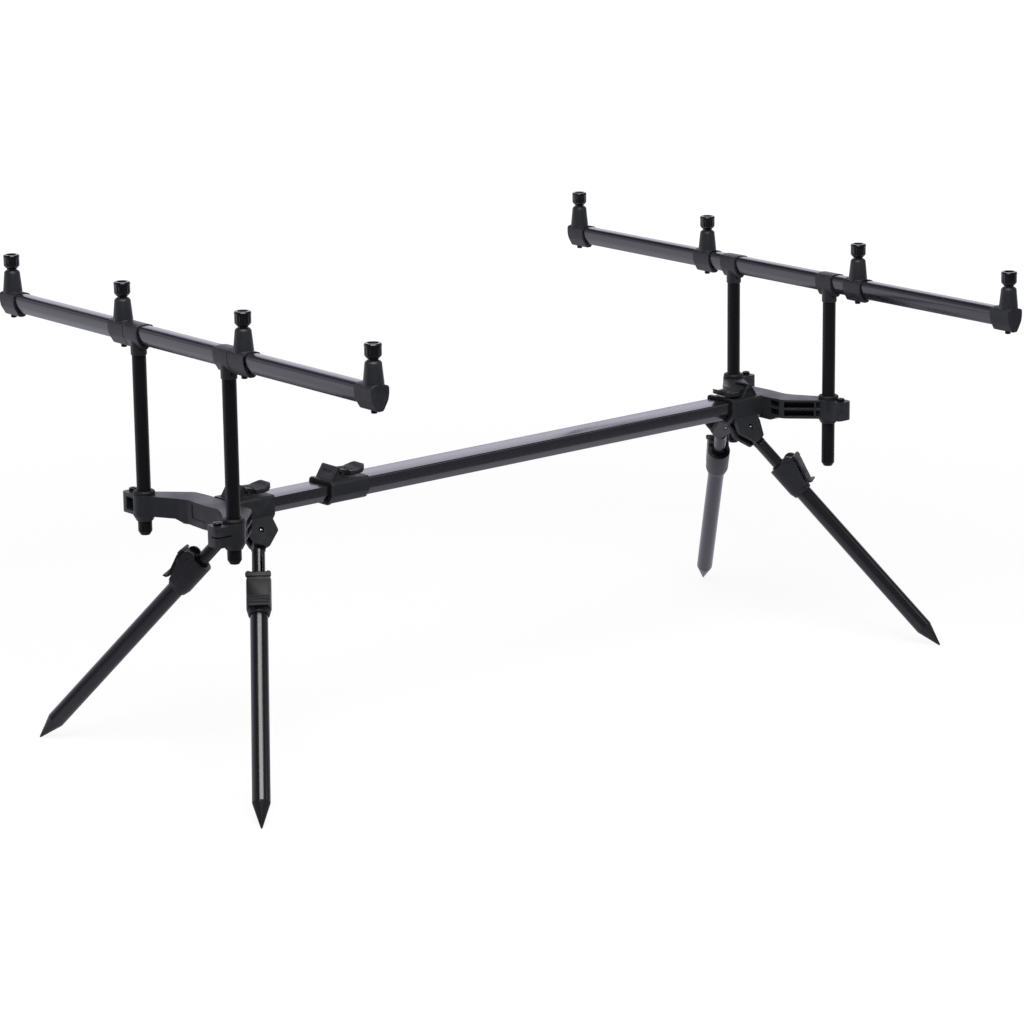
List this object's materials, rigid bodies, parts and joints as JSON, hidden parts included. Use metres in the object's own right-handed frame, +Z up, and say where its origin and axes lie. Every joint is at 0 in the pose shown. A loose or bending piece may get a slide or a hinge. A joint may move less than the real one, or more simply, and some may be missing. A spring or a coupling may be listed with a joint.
{
  "type": "rod pod",
  "caption": "Telescopic fishing rod pod: ridge tube on folding, extending splayed legs, with raised buzz bars whose sliding rests take bite alarms in threaded thumb nuts",
  "frame": {"origin": "on the ground, below the middle of the ridge between the two buzz bars", "axes": "+X along the ridge to the front, the wider bar; +Y to the left; +Z up"},
  "size_m": [0.9118, 0.6894, 0.4736],
  "materials": {
    "tube_black": "black anodised, satin",
    "leg_black": "black anodised, satin",
    "upright_black": "black anodised, matt",
    "nut_black": "black anodised, knurled",
    "spike_black": "black, satin",
    "steel_bright": "plain steel",
    "moulded_black": "charcoal, fine texture",
    "rubber_black": "matt black"
  },
  "bodies": {
    "frame_front": {"outer_tube": "tube_black", "lock_sleeve": "moulded_black", "lock_pin": "steel_bright", "front_clamp": "moulded_black", "front_yoke": "moulded_black", "front_head_fasteners": "steel_bright", "front_socket_rings": "rubber_black"},
    "frame_rear": {"inner_tube": "tube_black", "inner_bush": "rubber_black", "rear_clamp": "moulded_black", "rear_yoke": "moulded_black", "rear_head_fasteners": "steel_bright", "rear_socket_rings": "rubber_black"},
    "lock_lever": {"lock_lever": "moulded_black"},
    "rear_head_lever": {"rear_head_lever": "moulded_black"},
    "front_head_lever": {"front_head_lever": "moulded_black"},
    "rear_left_leg_upper": {"rear_left_upper_rod": "leg_black"},
    "rear_left_leg_lower": {"rear_left_lock_collar": "moulded_black", "rear_left_lower_tube": "leg_black", "rear_left_spike": "spike_black"},
    "rear_left_leg_lever": {"rear_left_leg_lever": "moulded_black"},
    "rear_right_leg_upper": {"rear_right_upper_rod": "leg_black"},
    "rear_right_leg_lower": {"rear_right_lock_collar": "moulded_black", "rear_right_lower_tube": "leg_black", "rear_right_spike": "spike_black"},
    "rear_right_leg_lever": {"rear_right_leg_lever": "moulded_black"},
    "front_left_leg_upper": {"front_left_upper_rod": "leg_black"},
    "front_left_leg_lower": {"front_left_lock_collar": "moulded_black", "front_left_lower_tube": "leg_black", "front_left_spike": "spike_black"},
    "front_left_leg_lever": {"front_left_leg_lever": "moulded_black"},
    "front_right_leg_upper": {"front_right_upper_rod": "leg_black"},
    "front_right_leg_lower": {"front_right_lock_collar": "moulded_black", "front_right_lower_tube": "leg_black", "front_right_spike": "spike_black"},
    "front_right_leg_lever": {"front_right_leg_lever": "moulded_black"},
    "rear_bar": {"rear_bar_tube": "tube_black", "rear_tees": "moulded_black", "rear_left_upright": "upright_black", "rear_right_upright": "upright_black", "rear_end_rests": "moulded_black"},
    "rear_left_inner_rest": {"rear_left_inner_rest": "moulded_black"},
    "rear_right_inner_rest": {"rear_right_inner_rest": "moulded_black"},
    "front_bar": {"front_bar_tube": "tube_black", "front_tees": "moulded_black", "front_left_upright": "upright_black", "front_right_upright": "upright_black", "front_end_rests": "moulded_black"},
    "front_left_inner_rest": {"front_left_inner_rest": "moulded_black"},
    "front_right_inner_rest": {"front_right_inner_rest": "moulded_black"},
    "rear_left_inner_nut": {"rear_left_inner_nut": "nut_black"},
    "rear_left_end_nut": {"rear_left_end_nut": "nut_black"},
    "rear_right_inner_nut": {"rear_right_inner_nut": "nut_black"},
    "rear_right_end_nut": {"rear_right_end_nut": "nut_black"},
    "front_left_inner_nut": {"front_left_inner_nut": "nut_black"},
    "front_left_end_nut": {"front_left_end_nut": "nut_black"},
    "front_right_inner_nut": {"front_right_inner_nut": "nut_black"},
    "front_right_end_nut": {"front_right_end_nut": "nut_black"}
  },
  "joints": [
    {"name": "ridge_slide", "type": "slide", "parent": "frame_front", "child": "frame_rear", "axis": [-1, 0, 0], "range_m": [-0.06, 0.3]},
    {"name": "ridge_lock_flip", "type": "hinge", "parent": "frame_front", "child": "lock_lever", "pos_m": [-0.2191, 0, 0.27192], "axis": [0, -1, 0], "range_deg": [0, 80]},
    {"name": "rear_head_lever_flip", "type": "hinge", "parent": "frame_rear", "child": "rear_head_lever", "pos_m": [-0.3351, 0, 0.27202], "axis": [0, -1, 0], "range_deg": [0, 80]},
    {"name": "front_head_lever_flip", "type": "hinge", "parent": "frame_front", "child": "front_head_lever", "pos_m": [0.3351, 0, 0.27202], "axis": [0, 1, 0], "range_deg": [0, 80]},
    {"name": "rear_left_leg_fold", "type": "hinge", "parent": "frame_rear", "child": "rear_left_leg_upper", "pos_m": [-0.3275, 0.02, 0.23202], "axis": [0, -0.807, -0.5906], "range_deg": [0, 114]},
    {"name": "rear_left_leg_extend", "type": "slide", "parent": "rear_left_leg_upper", "child": "rear_left_leg_lower", "axis": [-0.4067, 0.5395, -0.7372], "range_m": [0, 0.12]},
    {"name": "rear_left_leg_lever_flip", "type": "hinge", "parent": "rear_left_leg_lower", "child": "rear_left_leg_lever", "pos_m": [-0.35516, 0.05669, 0.19817], "axis": [0.7985, 0.602, 0], "range_deg": [0, 75]},
    {"name": "rear_right_leg_fold", "type": "hinge", "parent": "frame_rear", "child": "rear_right_leg_upper", "pos_m": [-0.3275, -0.02, 0.23202], "axis": [0, -0.807, 0.5906], "range_deg": [0, 114]},
    {"name": "rear_right_leg_extend", "type": "slide", "parent": "rear_right_leg_upper", "child": "rear_right_leg_lower", "axis": [-0.4067, -0.5395, -0.7372], "range_m": [0, 0.12]},
    {"name": "rear_right_leg_lever_flip", "type": "hinge", "parent": "rear_right_leg_lower", "child": "rear_right_leg_lever", "pos_m": [-0.35516, -0.05669, 0.19817], "axis": [-0.7985, 0.602, 0], "range_deg": [0, 75]},
    {"name": "front_left_leg_fold", "type": "hinge", "parent": "frame_front", "child": "front_left_leg_upper", "pos_m": [0.3275, 0.02, 0.23202], "axis": [0, 0.807, 0.5906], "range_deg": [0, 114]},
    {"name": "front_left_leg_extend", "type": "slide", "parent": "front_left_leg_upper", "child": "front_left_leg_lower", "axis": [0.4067, 0.5395, -0.7372], "range_m": [0, 0.12]},
    {"name": "front_left_leg_lever_flip", "type": "hinge", "parent": "front_left_leg_lower", "child": "front_left_leg_lever", "pos_m": [0.35516, 0.05669, 0.19817], "axis": [0.7985, -0.602, 0], "range_deg": [0, 75]},
    {"name": "front_right_leg_fold", "type": "hinge", "parent": "frame_front", "child": "front_right_leg_upper", "pos_m": [0.3275, -0.02, 0.23202], "axis": [0, 0.807, -0.5906], "range_deg": [0, 114]},
    {"name": "front_right_leg_extend", "type": "slide", "parent": "front_right_leg_upper", "child": "front_right_leg_lower", "axis": [0.4067, -0.5395, -0.7372], "range_m": [0, 0.12]},
    {"name": "front_right_leg_lever_flip", "type": "hinge", "parent": "front_right_leg_lower", "child": "front_right_leg_lever", "pos_m": [0.35516, -0.05669, 0.19817], "axis": [-0.7985, -0.602, 0], "range_deg": [0, 75]},
    {"name": "rear_bar_lift", "type": "slide", "parent": "frame_rear", "child": "rear_bar", "axis": [0, 0, 1], "range_m": [-0.13, 0.012]},
    {"name": "rear_left_rest_shift", "type": "slide", "parent": "rear_bar", "child": "rear_left_inner_rest", "axis": [0, 1, 0], "range_m": [0, 0.165]},
    {"name": "rear_right_rest_shift", "type": "slide", "parent": "rear_bar", "child": "rear_right_inner_rest", "axis": [0, -1, 0], "range_m": [0, 0.165]},
    {"name": "front_bar_lift", "type": "slide", "parent": "frame_front", "child": "front_bar", "axis": [0, 0, 1], "range_m": [-0.09, 0.046]},
    {"name": "front_left_rest_shift", "type": "slide", "parent": "front_bar", "child": "front_left_inner_rest", "axis": [0, 1, 0], "range_m": [-0.017, 0.185]},
    {"name": "front_right_rest_shift", "type": "slide", "parent": "front_bar", "child": "front_right_inner_rest", "axis": [0, -1, 0], "range_m": [-0.017, 0.185]},
    {"name": "rear_left_inner_nut_turn", "type": "hinge", "parent": "rear_left_inner_rest", "child": "rear_left_inner_nut", "pos_m": [-0.3955, 0.1, 0.45762], "axis": [0, 0, 1], "continuous": true},
    {"name": "rear_left_end_nut_turn", "type": "hinge", "parent": "rear_bar", "child": "rear_left_end_nut", "pos_m": [-0.3955, 0.2985, 0.45762], "axis": [0, 0, 1], "continuous": true},
    {"name": "rear_right_inner_nut_turn", "type": "hinge", "parent": "rear_right_inner_rest", "child": "rear_right_inner_nut", "pos_m": [-0.3955, -0.1, 0.45762], "axis": [0, 0, 1], "continuous": true},
    {"name": "rear_right_end_nut_turn", "type": "hinge", "parent": "rear_bar", "child": "rear_right_end_nut", "pos_m": [-0.3955, -0.2985, 0.45762], "axis": [0, 0, 1], "continuous": true},
    {"name": "front_left_inner_nut_turn", "type": "hinge", "parent": "front_left_inner_rest", "child": "front_left_inner_nut", "pos_m": [0.3955, 0.118, 0.42432], "axis": [0, 0, 1], "continuous": true},
    {"name": "front_left_end_nut_turn", "type": "hinge", "parent": "front_bar", "child": "front_left_end_nut", "pos_m": [0.3955, 0.335, 0.42432], "axis": [0, 0, 1], "continuous": true},
    {"name": "front_right_inner_nut_turn", "type": "hinge", "parent": "front_right_inner_rest", "child": "front_right_inner_nut", "pos_m": [0.3955, -0.118, 0.42432], "axis": [0, 0, 1], "continuous": true},
    {"name": "front_right_end_nut_turn", "type": "hinge", "parent": "front_bar", "child": "front_right_end_nut", "pos_m": [0.3955, -0.335, 0.42432], "axis": [0, 0, 1], "continuous": true}
  ]
}
